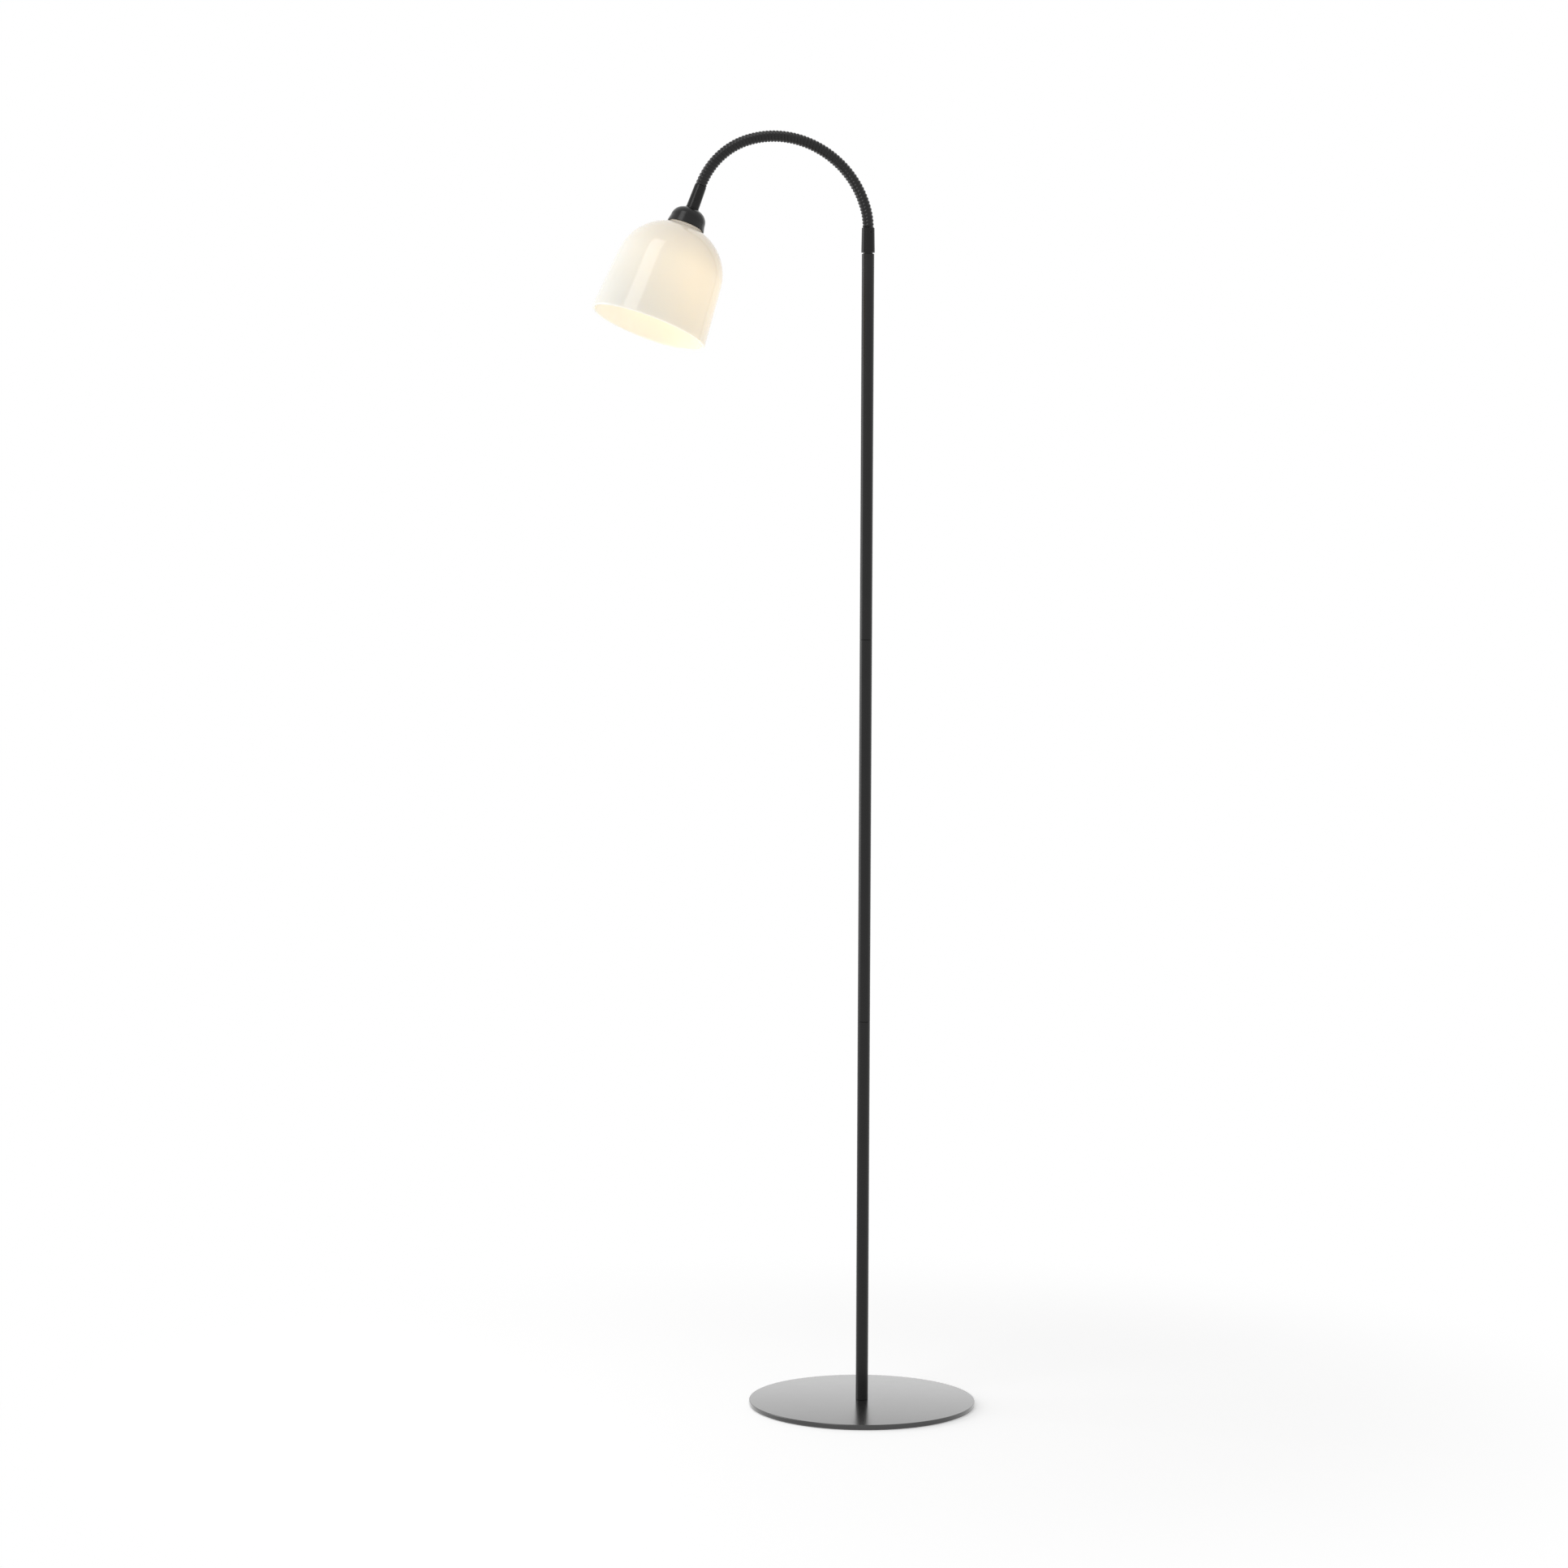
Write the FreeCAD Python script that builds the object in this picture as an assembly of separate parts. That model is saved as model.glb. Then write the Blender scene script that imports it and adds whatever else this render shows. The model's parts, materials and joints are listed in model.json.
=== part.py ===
"""Gooseneck reading floor lamp: disc base, three-tube pole, ribbed gooseneck, bell shade.

Millimetres, +Z up.  The origin is the centre of the underside.  The gooseneck stands in an
upright plane that is turned from -X towards -Y.  Pieces of the head are drawn about their own
axis (local +Z runs from the end of the gooseneck out of the shade's mouth) and then placed.
"""
import FreeCAD, Part
import math
import os

V = FreeCAD.Vector

# ---- base ------------------------------------------------------------------------------------
BASE_R = 119.0
BASE_EDGE = 0.8              # bevel round the top edge
PAD_R = 116.0
PAD_H = 1.0
PLATE_H = 5.0
BASE_TOP = PAD_H + PLATE_H
RECESS_R = 12.0              # recess under the plate for the nut and washer
RECESS_H = 2.8
FOOT_WASHER_R = 11.0
FOOT_WASHER_H = 0.7
FOOT_NUT_FLATS = 13.0
FOOT_NUT_H = 1.9

# ---- pole ------------------------------------------------------------------------------------
POLE_R = 6.5
POLE_WALL = 1.0
TUBE_LENGTH = 400.0
TUBE_BEVEL = 0.3             # bevel on tube ends, which shows each joint as a fine line
POLE_TOP = BASE_TOP + 3 * TUBE_LENGTH
INSERT_R = POLE_R - POLE_WALL - 0.03
THREAD_R = 4.0               # threaded tube at the foot
LEAD_BORE_R = 2.7            # bore of every threaded tube and spigot
LEAD_R = 2.0
FOOT_INSERT_H = 20.0
SPIGOT_HALF = 20.0           # spigot length each side of a pole joint
OUTLET_Z = 42.0              # rear cable outlet
OUTLET_HOLE_R = 3.6
GROMMET_FLANGE_R = 4.6
GROMMET_BORE_R = 2.4

# ---- swivel ----------------------------------------------------------------------------------
BUSH_H = 24.0
PIN_R = 4.2
PIN_CLEARANCE = 0.05
NECK_R = 4.9
NECK_GAP = 1.2               # height of neck seen between the pole and its ferrule
PIN_BELOW_BUSH = 3.0
RING_R = 5.2
FERRULE_H = 25.8
FERRULE_FOOT_R = 7.1
FERRULE_TOP_R = 6.65
FERRULE_EDGE = 0.4           # bevel at both ends of a ferrule
POLE_SCREW_TURN = -65.0      # degrees from +X
POLE_SCREW_DROP = 5.0        # down from the top of the ferrule
SCREW_R = 1.5
SCREW_SOCKET_FLATS = 1.3

# ---- gooseneck -------------------------------------------------------------------------------
PLANE_TURN = 21.7            # degrees from -X towards -Y
SECTION_LENGTH = 18.25
SECTION_BENDS = [15.8] + [11.2] * 3 + [9.9] * 6 + [12.5] * 4    # degrees in each section
RIBS_PER_SECTION = 5
RIB_ROOT_R = 5.15
RIB_CREST_R = 5.95
CREST_START = 0.42           # share of a rib's pitch
CREST_END = 0.58
HOSE_BORE_R = 2.6
SPIGOT_R = 4.95              # plain ends held in the ferrules
FERRULE_BORE_R = 5.0
HOSE_SPIGOT_H = 12.0
LINK_GAP = 1.05              # each side of a link's centre
BALL_R = 4.55
BALL_REACH = 3.0             # how far the ball goes past the link's centre
SOCKET_R = BALL_R + 0.05

# ---- head, distances from the end of the gooseneck ----------------------------------------
HEAD_FERRULE_H = 25.0
HEAD_FERRULE_TOP_R = 6.1
HEAD_FERRULE_FOOT_R = 6.6
HEAD_SCREW_TURN = 18.5       # degrees about the ferrule, from the axis of the bends
HEAD_SCREW_Z = (3.6, 18.2)   # down from the top of the ferrule
NIPPLE_START = 13.0
NIPPLE_END = 33.8
NIPPLE_BORE_R = 3.0
CAP_TOP = 26.0
CAP_RIM = 45.0
CAP_WALL = 1.2
CAP_CROWN_R = 6.0            # flat crown inside the round shoulder
CAP_SHOULDER_R = 12.2
CAP_RIM_R = 19.5
COLLAR_RING_R = 7.2
CAP_WASHER_R = 8.6
CAP_WASHER_H = 1.3
CAP_WASHER_FLAT_R = 6.2      # bevelled outside this, to clear the cap's round shoulder
CAP_WASHER_BEVEL = 0.7
CAP_NUT_FLATS = 14.0
CAP_NUT_H = 2.5
HOLDER_TOP = CAP_TOP + CAP_WALL + CAP_WASHER_H + CAP_NUT_H
HOLDER_R = 13.0
HOLDER_WALL = 1.8
HOLDER_ROOF = 3.0
HOLDER_END = 59.0
CORE_TOP = HOLDER_TOP + HOLDER_ROOF + 3.4
CORE_END = 57.5
SHELL_R = 7.35
SHELL_WALL = 0.3
CONTACT_R = 3.2
CONTACT_H = 0.8
TERMINAL_R = 1.6
TERMINAL_OFFSET = 8.4

# ---- glass shade -----------------------------------------------------------------------------
GLASS = 3.0
GLASS_TOP = 44.3
GLASS_HOLE_R = 13.3
GLASS_NECK_R = 17.6
DOME_CENTRE_R = 3.7          # the dome's section is an arc centred off the axis
DOME_CENTRE_Z = 96.2
DOME_R = 52.0
SIDE_FLARE = 4.7             # degrees
MOUTH_Z = 156.0
GASKET_H = 1.0
SHADE_RING_R = 17.0
SHADE_RING_H = 4.2
SHADE_RING_NOTCHES = 4

# ---- bulb ------------------------------------------------------------------------------------
BULB_TIP_Z = CORE_TOP + CONTACT_H
BULB_CAP_R = 6.95
BULB_CAP_H = 19.5
BULB_NECK_R = 9.0
BULB_GLOBE_R = 22.0
BULB_GLOBE_Z = 84.0
BULB_INSULATOR_H = 2.0


# ---- helpers ---------------------------------------------------------------------------------
def cylinder(radius, z0, z1):
    return Part.makeCylinder(radius, z1 - z0, V(0, 0, z0))


def tube(outer, inner, z0, z1):
    return cylinder(outer, z0, z1).cut(cylinder(inner, z0 - 1, z1 + 1))


def turned(edges):
    """A solid of revolution about Z from the edges of a closed (r, z) outline."""
    face = Part.Face(Part.Wire(edges))
    return face.revolve(V(0, 0, 0), V(0, 0, 1), 360)


def corner(point):
    return V(point[0], 0, point[1])


def line(a, b):
    return Part.LineSegment(corner(a), corner(b)).toShape()


def arc(a, middle, b):
    return Part.Arc(corner(a), corner(middle), corner(b)).toShape()


def lathe(*points):
    closed = list(points) + [points[0]]
    return turned([line(a, b) for a, b in zip(closed, closed[1:])])


def on_circle(centre, radius, degrees):
    angle = math.radians(degrees)
    return (centre[0] + radius * math.cos(angle), centre[1] + radius * math.sin(angle))


def hexagon(flats, z0, z1):
    radius = flats / math.sqrt(3)
    ring = [V(*on_circle((0, 0), radius, 60 * i), z0) for i in range(7)]
    return Part.Face(Part.makePolygon(ring)).extrude(V(0, 0, z1 - z0))


def bevelled_tube(z0, z1):
    inner = POLE_R - POLE_WALL
    return lathe((inner, z0), (POLE_R - TUBE_BEVEL, z0), (POLE_R, z0 + TUBE_BEVEL),
                 (POLE_R, z1 - TUBE_BEVEL), (POLE_R - TUBE_BEVEL, z1), (inner, z1))


def grub_screw(tip, head):
    """A socket screw along local X, from its tip to its head, in the middle of the ferrule wall."""
    screw = Part.makeCylinder(SCREW_R, head - tip, V(tip, 0, 0), V(1, 0, 0))
    socket = hexagon(SCREW_SOCKET_FLATS, 0, 1.0)
    socket.rotate(V(0, 0, 0), V(0, 1, 0), 90)
    socket.translate(V(head - 1.0, 0, 0))
    return screw.cut(socket)


def write(name, shape):
    solids = shape.Solids
    if len(solids) == 1:
        shape = solids[0]
    if not shape.isValid():
        raise ValueError(name + " is not a valid shape")
    shape.exportStep("parts/" + name + ".step")
    print("%-26s %d solid(s) %10.1f mm3" % (name, len(solids), shape.Volume))


# ---- the gooseneck's centreline --------------------------------------------------------------
OUTWARD = V(-math.cos(math.radians(PLANE_TURN)), -math.sin(math.radians(PLANE_TURN)), 0)
UP = V(0, 0, 1)
ACROSS = UP.cross(OUTWARD)   # axis that every in-plane bend turns about
HOSE_START = V(0, 0, POLE_TOP + NECK_GAP + FERRULE_H)


class Station:
    """A point of the centreline, with the direction of the hose there."""

    def __init__(self, point, heading):
        self.point = point
        self.heading = heading          # degrees from straight up, towards OUTWARD

    def direction(self):
        angle = math.radians(self.heading)
        return UP * math.cos(angle) + OUTWARD * math.sin(angle)

    def placement(self):
        """Local Z along the hose and local X across the plane, so that no section twists."""
        along = self.direction()
        rotation = FreeCAD.Rotation(ACROSS, along.cross(ACROSS), along, "ZXY")
        return FreeCAD.Placement(self.point, rotation)

    def ahead(self, distance, bend):
        """The station a distance further along an arc that turns by bend degrees."""
        if abs(bend) < 1e-9:
            return Station(self.point + self.direction() * distance, self.heading)
        radius = distance / math.radians(bend)
        start = math.radians(self.heading)
        end = start + math.radians(bend)
        step_out = OUTWARD * (radius * (math.cos(start) - math.cos(end)))
        step_up = UP * (radius * (math.sin(end) - math.sin(start)))
        return Station(self.point + step_out + step_up, self.heading + bend)


def link_stations():
    """The ends of the sections, from the pole's ferrule to the head's ferrule."""
    stations = [Station(HOSE_START, 0.0)]
    for bend in SECTION_BENDS:
        stations.append(stations[-1].ahead(SECTION_LENGTH, bend))
    return stations


LINKS = link_stations()


# ---- base ------------------------------------------------------------------------------------
def base_plate():
    edge = BASE_R - BASE_EDGE
    plate = lathe((THREAD_R + 0.1, PAD_H), (edge, PAD_H), (BASE_R, PAD_H + BASE_EDGE),
                  (BASE_R, BASE_TOP - BASE_EDGE), (edge, BASE_TOP), (THREAD_R + 0.1, BASE_TOP))
    return plate.cut(cylinder(RECESS_R, PAD_H - 1, PAD_H + RECESS_H))


def foot_nut():
    top = PAD_H + RECESS_H - FOOT_WASHER_H
    return hexagon(FOOT_NUT_FLATS, top - FOOT_NUT_H, top).cut(
        cylinder(THREAD_R + 0.02, 0, top + 1))


def make_base():
    washer_top = PAD_H + RECESS_H
    write("base_pad", cylinder(PAD_R, 0, PAD_H))
    write("base_plate", base_plate())
    write("foot_washer", tube(FOOT_WASHER_R, THREAD_R + 0.1, washer_top - FOOT_WASHER_H,
                              washer_top))
    write("foot_nut", foot_nut())
    write("foot_threaded_tube", tube(THREAD_R, LEAD_BORE_R, PAD_H + 0.2,
                                     BASE_TOP + FOOT_INSERT_H))
    write("foot_insert", tube(INSERT_R, THREAD_R + 0.02, BASE_TOP, BASE_TOP + FOOT_INSERT_H))


# ---- pole ------------------------------------------------------------------------------------
def outlet_hole(radius):
    return Part.makeCylinder(radius, POLE_R + 4, V(0, 0, OUTLET_Z), V(0, 1, 0))


def grommet():
    """A flanged bush through the back wall of the lowest tube."""
    body = Part.makeCylinder(OUTLET_HOLE_R - 0.02, POLE_WALL + 1.4,
                             V(0, POLE_R - POLE_WALL - 0.6, OUTLET_Z), V(0, 1, 0))
    flange = Part.makeCylinder(GROMMET_FLANGE_R, 3.0, V(0, POLE_R - 1.6, OUTLET_Z), V(0, 1, 0))
    flange = flange.cut(cylinder(POLE_R + 0.01, OUTLET_Z - 10, OUTLET_Z + 10))
    return body.fuse(flange).removeSplitter().cut(outlet_hole(GROMMET_BORE_R))


def pole_lead():
    """The lead from the rear outlet, up the pole, to the swivel."""
    bend = 4.6
    start = V(0, POLE_R - 0.4, OUTLET_Z)
    turn_in = V(0, bend, OUTLET_Z)
    turn_up = V(0, 0, OUTLET_Z + bend)
    middle = V(0, bend * (1 - math.sin(math.pi / 4)), OUTLET_Z + bend * (1 - math.cos(math.pi / 4)))
    path = Part.Wire([Part.LineSegment(start, turn_in).toShape(),
                      Part.Arc(turn_in, middle, turn_up).toShape(),
                      Part.LineSegment(turn_up, V(0, 0, POLE_TOP)).toShape()])
    section = Part.Wire([Part.Circle(start, V(0, 1, 0), LEAD_R).toShape()])
    return path.makePipeShell([section], True, False)


def make_pole():
    for index, name in enumerate(("pole_lower", "pole_middle", "pole_upper")):
        z0 = BASE_TOP + index * TUBE_LENGTH
        body = bevelled_tube(z0, z0 + TUBE_LENGTH)
        if index == 0:
            body = body.cut(outlet_hole(OUTLET_HOLE_R))
        write(name, body)
    for index, name in enumerate(("lower_joint_spigot", "upper_joint_spigot")):
        z = BASE_TOP + (index + 1) * TUBE_LENGTH
        write(name, tube(INSERT_R, LEAD_BORE_R, z - SPIGOT_HALF, z + SPIGOT_HALF))
    write("pole_top_bush", tube(INSERT_R, PIN_R + PIN_CLEARANCE, POLE_TOP - BUSH_H, POLE_TOP))
    write("outlet_grommet", grommet())
    write("pole_lead", pole_lead())


# ---- swivel ----------------------------------------------------------------------------------
def swivel_neck():
    """A hollow pin that turns in the bush, with a neck that the ferrule screws on to."""
    foot = POLE_TOP - BUSH_H - PIN_BELOW_BUSH
    neck_foot = POLE_TOP + 0.05
    thread_top = POLE_TOP + NECK_GAP + FERRULE_H - HOSE_SPIGOT_H - 0.2
    return lathe((LEAD_BORE_R, foot), (PIN_R, foot), (PIN_R, neck_foot), (NECK_R, neck_foot),
                 (NECK_R, thread_top), (LEAD_BORE_R, thread_top))


def pole_ferrule():
    z0 = POLE_TOP + NECK_GAP
    z1 = z0 + FERRULE_H
    edge = FERRULE_EDGE
    body = lathe((FERRULE_BORE_R, z0), (FERRULE_FOOT_R - edge, z0), (FERRULE_FOOT_R, z0 + edge),
                 (FERRULE_TOP_R, z1 - edge), (FERRULE_TOP_R - edge, z1), (FERRULE_BORE_R, z1))
    return body.cut(placed_screw_hole(z1))


def pole_screw_placement(ferrule_top):
    """Where the ferrule's screw enters, seen from the front right."""
    turn = FreeCAD.Rotation(V(0, 0, 1), POLE_SCREW_TURN)
    return FreeCAD.Placement(V(0, 0, ferrule_top - POLE_SCREW_DROP), turn)


def placed_screw_hole(ferrule_top):
    hole = Part.makeCylinder(SCREW_R + 0.02, 10, V(SPIGOT_R + 0.06, 0, 0), V(1, 0, 0))
    hole.Placement = pole_screw_placement(ferrule_top)
    return hole


def make_swivel():
    z1 = POLE_TOP + NECK_GAP + FERRULE_H
    ring_top = POLE_TOP - BUSH_H - 0.4
    write("swivel_neck", swivel_neck())
    write("swivel_retaining_ring", tube(RING_R, PIN_R + 0.02, ring_top - 1.2, ring_top))
    write("pole_ferrule", pole_ferrule())
    screw = grub_screw(SPIGOT_R + 0.08, FERRULE_TOP_R - 0.3)
    screw.Placement = pole_screw_placement(z1)
    write("pole_ferrule_screw", screw)


# ---- gooseneck -------------------------------------------------------------------------------
def rib_radius(distance):
    """The hose's outer radius a distance along a section."""
    pitch = SECTION_LENGTH / RIBS_PER_SECTION
    share = (distance / pitch) % 1.0
    depth = RIB_CREST_R - RIB_ROOT_R
    if share < CREST_START:
        return RIB_ROOT_R + depth * share / CREST_START
    if share > CREST_END:
        return RIB_ROOT_R + depth * (1 - share) / (1 - CREST_END)
    return RIB_CREST_R


def ring_at(station, radius):
    """A circle square to the hose, whose start stays on the steady X axis."""
    circle = Part.Circle(V(0, 0, 0), V(0, 0, 1), radius).toShape()
    circle.Placement = station.placement()
    return Part.Wire([circle])


def section_body(index, start_gap, end_gap):
    """The ribbed wall of one section: a ruled loft through four circles a rib."""
    bend = SECTION_BENDS[index]
    pitch = SECTION_LENGTH / RIBS_PER_SECTION
    marks = [pitch * (rib + share) for rib in range(RIBS_PER_SECTION)
             for share in (0.0, CREST_START, CREST_END)]
    inside = [m for m in marks if start_gap + 0.05 < m < SECTION_LENGTH - end_gap - 0.05]
    marks = [start_gap] + inside + [SECTION_LENGTH - end_gap]
    rings = []
    for mark in marks:
        station = LINKS[index].ahead(mark, bend * mark / SECTION_LENGTH)
        rings.append(ring_at(station, rib_radius(mark)))
    return Part.makeLoft(rings, True, True)


def section_bore(index):
    """The bore, drawn as one loft that runs on straight past both ends of the section."""
    bend = SECTION_BENDS[index]
    steps = 4
    foot = LINKS[index]
    overrun = HOSE_SPIGOT_H + 1
    rings = [ring_at(foot.ahead(-overrun, 0), HOSE_BORE_R)]
    for step in range(steps + 1):
        share = step / steps
        station = foot.ahead(SECTION_LENGTH * share, bend * share)
        rings.append(ring_at(station, HOSE_BORE_R))
    rings.append(ring_at(LINKS[index + 1].ahead(overrun, 0), HOSE_BORE_R))
    return Part.makeLoft(rings, True, True)


def local_cylinder(station, radius, z0, z1):
    body = cylinder(radius, z0, z1)
    body.Placement = station.placement()
    return body


def link_ball(station):
    """The ball end that stands past a section, cut flat at its tip."""
    ball = Part.makeSphere(BALL_R).cut(cylinder(2 * BALL_R, BALL_REACH, 2 * BALL_R))
    ball.Placement = station.placement()
    return ball


def gooseneck_section(index):
    first = index == 0
    last = index == len(SECTION_BENDS) - 1
    foot = LINKS[index]
    tip = LINKS[index + 1]
    body = section_body(index, 0.0 if first else LINK_GAP, 0.0 if last else LINK_GAP)
    if first:
        body = body.fuse(local_cylinder(foot, SPIGOT_R, -HOSE_SPIGOT_H, 0))
    else:
        socket = Part.makeSphere(SOCKET_R)
        socket.Placement = foot.placement()
        body = body.cut(socket)
    if last:
        body = body.fuse(local_cylinder(tip, SPIGOT_R, 0, HOSE_SPIGOT_H))
    else:
        body = body.fuse(link_ball(tip))
    return body.cut(section_bore(index))


def gooseneck_lead():
    """The lead through the neck, the gooseneck and into the head."""
    foot = V(0, 0, POLE_TOP)
    edges = [Part.LineSegment(foot, LINKS[0].point).toShape()]
    for index, bend in enumerate(SECTION_BENDS):
        start = LINKS[index]
        middle = start.ahead(SECTION_LENGTH / 2, bend / 2)
        edges.append(Part.Arc(start.point, middle.point, LINKS[index + 1].point).toShape())
    section = Part.Wire([Part.Circle(foot, UP, LEAD_R).toShape()])
    return Part.Wire(edges).makePipeShell([section], True, False)


def make_gooseneck():
    for index in range(len(SECTION_BENDS)):
        write("gooseneck_section_%02d" % (index + 1), gooseneck_section(index))
    write("gooseneck_lead", gooseneck_lead())


# ---- head ------------------------------------------------------------------------------------
def head_ferrule():
    edge = FERRULE_EDGE
    body = lathe((FERRULE_BORE_R, 0), (HEAD_FERRULE_TOP_R - edge, 0), (HEAD_FERRULE_TOP_R, edge),
                 (HEAD_FERRULE_FOOT_R, HEAD_FERRULE_H - edge),
                 (HEAD_FERRULE_FOOT_R - edge, HEAD_FERRULE_H), (FERRULE_BORE_R, HEAD_FERRULE_H))
    for placement in head_screw_placements():
        hole = Part.makeCylinder(SCREW_R + 0.02, 10, V(SPIGOT_R + 0.06, 0, 0), V(1, 0, 0))
        hole.Placement = placement
        body = body.cut(hole)
    return body


def head_screw_placements():
    """The two screws stand one above the other on the side that faces forwards."""
    turn = FreeCAD.Rotation(V(0, 0, 1), HEAD_SCREW_TURN)
    return [FreeCAD.Placement(V(0, 0, z), turn) for z in HEAD_SCREW_Z]


def head_ferrule_screws():
    screws = []
    for placement in head_screw_placements():
        screw = grub_screw(SPIGOT_R + 0.08, HEAD_FERRULE_TOP_R - 0.2)
        screw.Placement = placement
        screws.append(screw)
    return Part.makeCompound(screws)


def cap():
    """A domed cover: flat crown, round shoulder and a slightly flared skirt."""
    centre = (CAP_CROWN_R, CAP_TOP + CAP_SHOULDER_R)
    inner_shoulder = CAP_SHOULDER_R - CAP_WALL
    crown = CAP_TOP + CAP_WALL
    edges = [
        line((FERRULE_BORE_R, CAP_TOP), (CAP_CROWN_R, CAP_TOP)),
        arc((CAP_CROWN_R, CAP_TOP), on_circle(centre, CAP_SHOULDER_R, -45),
            on_circle(centre, CAP_SHOULDER_R, 0)),
        line(on_circle(centre, CAP_SHOULDER_R, 0), (CAP_RIM_R, CAP_RIM)),
        line((CAP_RIM_R, CAP_RIM), (CAP_RIM_R - CAP_WALL, CAP_RIM)),
        line((CAP_RIM_R - CAP_WALL, CAP_RIM), on_circle(centre, inner_shoulder, 0)),
        arc(on_circle(centre, inner_shoulder, 0), on_circle(centre, inner_shoulder, -45),
            (CAP_CROWN_R, crown)),
        line((CAP_CROWN_R, crown), (FERRULE_BORE_R, crown)),
        line((FERRULE_BORE_R, crown), (FERRULE_BORE_R, CAP_TOP)),
    ]
    return turned(edges)


def lampholder_body():
    """The holder's case: a roof that screws on to the nipple and a threaded skirt."""
    inner = HOLDER_R - HOLDER_WALL
    roof = HOLDER_TOP + HOLDER_ROOF
    return lathe((FERRULE_BORE_R, HOLDER_TOP), (HOLDER_R - 1.5, HOLDER_TOP),
                 (HOLDER_R, HOLDER_TOP + 1.5), (HOLDER_R, HOLDER_END), (inner, HOLDER_END),
                 (inner, roof), (FERRULE_BORE_R, roof))


def lampholder_core():
    """The insulating block that carries the thread shell, the contact and the terminals."""
    outer = HOLDER_R - HOLDER_WALL - 0.1
    body = cylinder(outer, CORE_TOP - 1.2, CORE_END)
    return body.cut(cylinder(SHELL_R + 0.02, CORE_TOP, CORE_END + 1))


def terminal_screws():
    top = CORE_TOP - 1.2
    screws = [Part.makeCylinder(TERMINAL_R, 1.6, V(side * TERMINAL_OFFSET, 0, top - 1.6))
              for side in (-1, 1)]
    return Part.makeCompound(screws)


def head_lead():
    """The end of the lead, from the gooseneck to the lampholder's terminals."""
    return cylinder(LEAD_R, 0, HOLDER_TOP + HOLDER_ROOF + 1.5)


def side_start():
    centre = (DOME_CENTRE_R, DOME_CENTRE_Z)
    return on_circle(centre, DOME_R, -SIDE_FLARE)


def side_end(inset):
    """The end of a side line at the mouth, moved in by the thickness of the glass."""
    start = side_start()
    slope = math.tan(math.radians(SIDE_FLARE))
    drop = MOUTH_Z - GLASS / 2
    radius = start[0] + (drop - start[1]) * slope - inset / math.cos(math.radians(SIDE_FLARE))
    return (radius, drop)


def shade():
    """Opal glass bell: a short neck, a round dome and flared sides with a rounded rim."""
    centre = (DOME_CENTRE_R, DOME_CENTRE_Z)
    inner_r = DOME_R - GLASS
    neck_start = on_circle(centre, DOME_R, -73.0)
    seat_angle = -math.degrees(math.acos((GLASS_NECK_R - DOME_CENTRE_R) / inner_r))
    seat_edge = on_circle(centre, inner_r, seat_angle)
    outer_foot = side_end(0)
    inner_foot = side_end(GLASS)
    rim = ((outer_foot[0] + inner_foot[0]) / 2, MOUTH_Z)
    inner_side = on_circle(centre, inner_r, -SIDE_FLARE)
    edges = [
        line((GLASS_HOLE_R, GLASS_TOP), (GLASS_NECK_R, GLASS_TOP)),
        line((GLASS_NECK_R, GLASS_TOP), neck_start),
        arc(neck_start, on_circle(centre, DOME_R, -40), side_start()),
        line(side_start(), outer_foot),
        arc(outer_foot, rim, inner_foot),
        line(inner_foot, inner_side),
        arc(inner_side, on_circle(centre, inner_r, -40), seat_edge),
        line(seat_edge, (GLASS_HOLE_R, seat_edge[1])),
        line((GLASS_HOLE_R, seat_edge[1]), (GLASS_HOLE_R, GLASS_TOP)),
    ]
    return turned(edges), seat_edge[1]


def shade_ring(seat):
    """The threaded ring that clamps the glass, with notches for the fingers."""
    ring = tube(SHADE_RING_R, HOLDER_R + 0.05, seat, seat + SHADE_RING_H)
    for index in range(SHADE_RING_NOTCHES):
        notch = Part.makeBox(4.0, 4.0, 2.0, V(HOLDER_R + 1.6, -2.0, seat + SHADE_RING_H - 1.6))
        notch.rotate(V(0, 0, 0), V(0, 0, 1), 360.0 * index / SHADE_RING_NOTCHES)
        ring = ring.cut(notch)
    return ring


def bulb_glass():
    """A round bulb whose neck narrows in a straight cone to its screw cap."""
    cap_end = BULB_TIP_Z + BULB_INSULATOR_H + BULB_CAP_H
    centre = (0, BULB_GLOBE_Z)
    shoulder = on_circle(centre, BULB_GLOBE_R, -48)
    edges = [
        line((0, cap_end), (BULB_NECK_R, cap_end)),
        line((BULB_NECK_R, cap_end), shoulder),
        arc(shoulder, on_circle(centre, BULB_GLOBE_R, 20), on_circle(centre, BULB_GLOBE_R, 90)),
        line(on_circle(centre, BULB_GLOBE_R, 90), (0, cap_end)),
    ]
    return turned(edges)


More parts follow.
